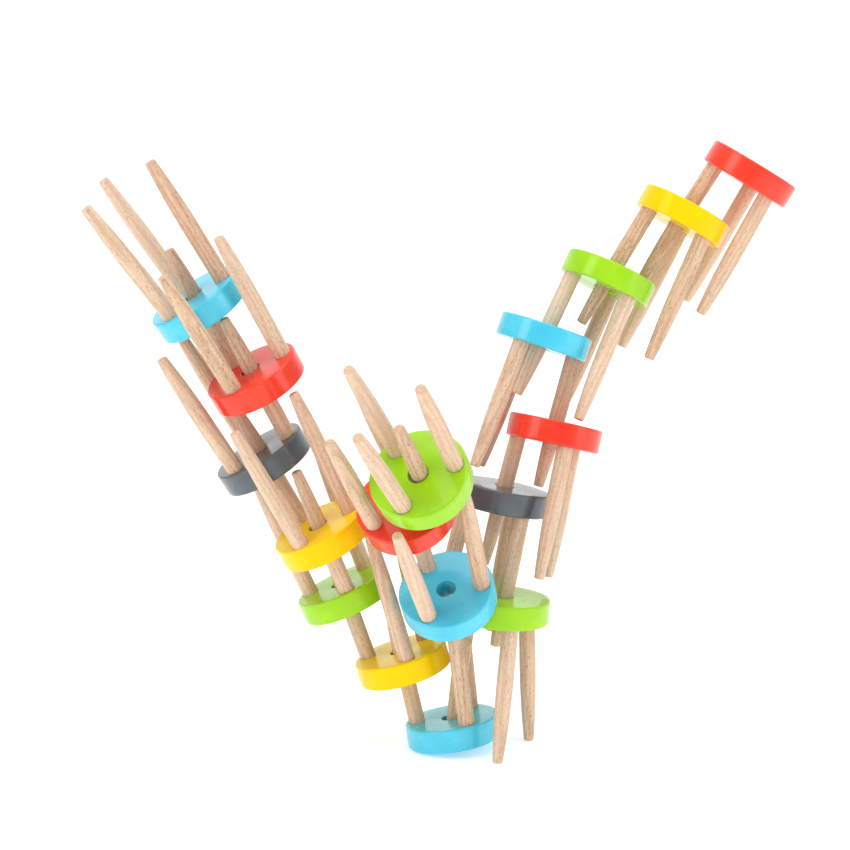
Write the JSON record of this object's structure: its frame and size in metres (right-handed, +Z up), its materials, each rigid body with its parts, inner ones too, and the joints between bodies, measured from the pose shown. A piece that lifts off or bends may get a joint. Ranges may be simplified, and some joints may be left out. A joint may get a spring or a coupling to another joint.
{
  "type": "stacking stools balancing game",
  "caption": "Small round wooden stools hooked together, a leg of each standing in its neighbour's middle hole, as a free-standing balancing sculpture.",
  "frame": {"origin": "on the floor, under the middle of the whole stack's bounding box", "axes": "+X to the right along the spread of the two long arms, +Y away from the viewer, +Z up"},
  "size_m": [0.4394, 0.2524, 0.3869],
  "materials": {
    "beech": "bare turned beech, sanded smooth and lightly waxed",
    "paint_blue": "gloss cyan-blue paint on wood",
    "paint_green": "gloss lime-green paint on wood",
    "paint_red": "gloss red paint on wood",
    "paint_yellow": "gloss yellow paint on wood",
    "paint_grey": "gloss dark slate-grey paint on wood"
  },
  "bodies": {
    "stool_blue_1": {"free_legs_blue_1": "beech", "linking_leg_blue_1_in_blue_3": "beech", "linking_leg_blue_1_in_yellow_1": "beech", "seat_blue_1": "paint_blue"},
    "stool_yellow_1": {"free_legs_yellow_1": "beech", "linking_leg_yellow_1_in_green_1": "beech", "seat_yellow_1": "paint_yellow"},
    "stool_green_1": {"free_legs_green_1": "beech", "linking_leg_green_1_in_yellow_2": "beech", "seat_green_1": "paint_green"},
    "stool_yellow_2": {"free_legs_yellow_2": "beech", "linking_leg_yellow_2_in_grey_1": "beech", "seat_yellow_2": "paint_yellow"},
    "stool_grey_1": {"free_legs_grey_1": "beech", "linking_leg_grey_1_in_red_1": "beech", "seat_grey_1": "paint_grey"},
    "stool_red_1": {"free_legs_red_1": "beech", "linking_leg_red_1_in_blue_2": "beech", "seat_red_1": "paint_red"},
    "stool_blue_2": {"free_legs_blue_2": "beech", "seat_blue_2": "paint_blue"},
    "stool_blue_3": {"free_legs_blue_3": "beech", "linking_leg_blue_3_in_red_2": "beech", "seat_blue_3": "paint_blue"},
    "stool_red_2": {"free_legs_red_2": "beech", "linking_leg_red_2_in_green_2": "beech", "seat_red_2": "paint_red"},
    "stool_green_2": {"free_legs_green_2": "beech", "seat_green_2": "paint_green"},
    "stool_green_3": {"free_legs_green_3": "beech", "linking_leg_green_3_in_blue_1": "beech", "seat_green_3": "paint_green"},
    "stool_grey_2": {"free_legs_grey_2": "beech", "linking_leg_grey_2_in_green_3": "beech", "seat_grey_2": "paint_grey"},
    "stool_red_3": {"free_legs_red_3": "beech", "linking_leg_red_3_in_grey_2": "beech", "seat_red_3": "paint_red"},
    "stool_blue_4": {"free_legs_blue_4": "beech", "linking_leg_blue_4_in_red_3": "beech", "seat_blue_4": "paint_blue"},
    "stool_green_4": {"free_legs_green_4": "beech", "linking_leg_green_4_in_blue_4": "beech", "seat_green_4": "paint_green"},
    "stool_yellow_3": {"free_legs_yellow_3": "beech", "linking_leg_yellow_3_in_green_4": "beech", "seat_yellow_3": "paint_yellow"},
    "stool_red_4": {"free_legs_red_4": "beech", "linking_leg_red_4_in_yellow_3": "beech", "seat_red_4": "paint_red"}
  },
  "joints": [
    {"name": "lift_yellow_1", "type": "slide", "parent": "stool_blue_1", "child": "stool_yellow_1", "axis": [-0.2254, 0.0531, 0.9728], "range_m": [0, 0.003]},
    {"name": "lift_blue_3", "type": "slide", "parent": "stool_green_3", "child": "stool_blue_3", "axis": [-0.1271, -0.1101, 0.9858], "range_m": [0, 0.035]},
    {"name": "lift_green_1", "type": "slide", "parent": "stool_yellow_1", "child": "stool_green_1", "axis": [-0.3277, -0.044, 0.9437], "range_m": [0, 0.0493]},
    {"name": "lift_yellow_2", "type": "slide", "parent": "stool_green_1", "child": "stool_yellow_2", "axis": [-0.3588, -0.1501, 0.9213], "range_m": [0, 0.0542]},
    {"name": "lift_grey_1", "type": "slide", "parent": "stool_yellow_2", "child": "stool_grey_1", "axis": [-0.4769, -0.15, 0.8661], "range_m": [0, 0.0473]},
    {"name": "lift_red_1", "type": "slide", "parent": "stool_grey_1", "child": "stool_red_1", "axis": [-0.4412, -0.2015, 0.8745], "range_m": [0, 0.0528]},
    {"name": "lift_blue_2", "type": "slide", "parent": "stool_red_1", "child": "stool_blue_2", "axis": [-0.4344, -0.272, 0.8587], "range_m": [0, 0.0487]},
    {"name": "lift_red_2", "type": "slide", "parent": "stool_blue_3", "child": "stool_red_2", "axis": [-0.2267, -0.5875, 0.7769], "range_m": [0, 0.0391]},
    {"name": "lift_green_2", "type": "slide", "parent": "stool_red_2", "child": "stool_green_2", "axis": [-0.2519, -0.7002, 0.668], "range_m": [0, 0.0618]},
    {"name": "lift_green_3", "type": "slide", "parent": "stool_blue_1", "child": "stool_green_3", "axis": [0.1356, -0.0005, 0.9908], "range_m": [0, 0.0184]},
    {"name": "lift_grey_2", "type": "slide", "parent": "stool_green_3", "child": "stool_grey_2", "axis": [0.1948, 0.0461, 0.9798], "range_m": [0, 0.0346]},
    {"name": "lift_red_3", "type": "slide", "parent": "stool_grey_2", "child": "stool_red_3", "axis": [0.2572, 0.0917, 0.962], "range_m": [0, 0.0541]},
    {"name": "lift_blue_4", "type": "slide", "parent": "stool_red_3", "child": "stool_blue_4", "axis": [0.2643, 0.0973, 0.9595], "range_m": [0, 0.0451]},
    {"name": "lift_green_4", "type": "slide", "parent": "stool_blue_4", "child": "stool_green_4", "axis": [0.4238, 0.1236, 0.8973], "range_m": [0, 0.0498]},
    {"name": "lift_yellow_3", "type": "slide", "parent": "stool_green_4", "child": "stool_yellow_3", "axis": [0.5152, 0.068, 0.8544], "range_m": [0, 0.043]},
    {"name": "lift_red_4", "type": "slide", "parent": "stool_yellow_3", "child": "stool_red_4", "axis": [0.5335, -0.0353, 0.8451], "range_m": [0, 0.0565]}
  ]
}
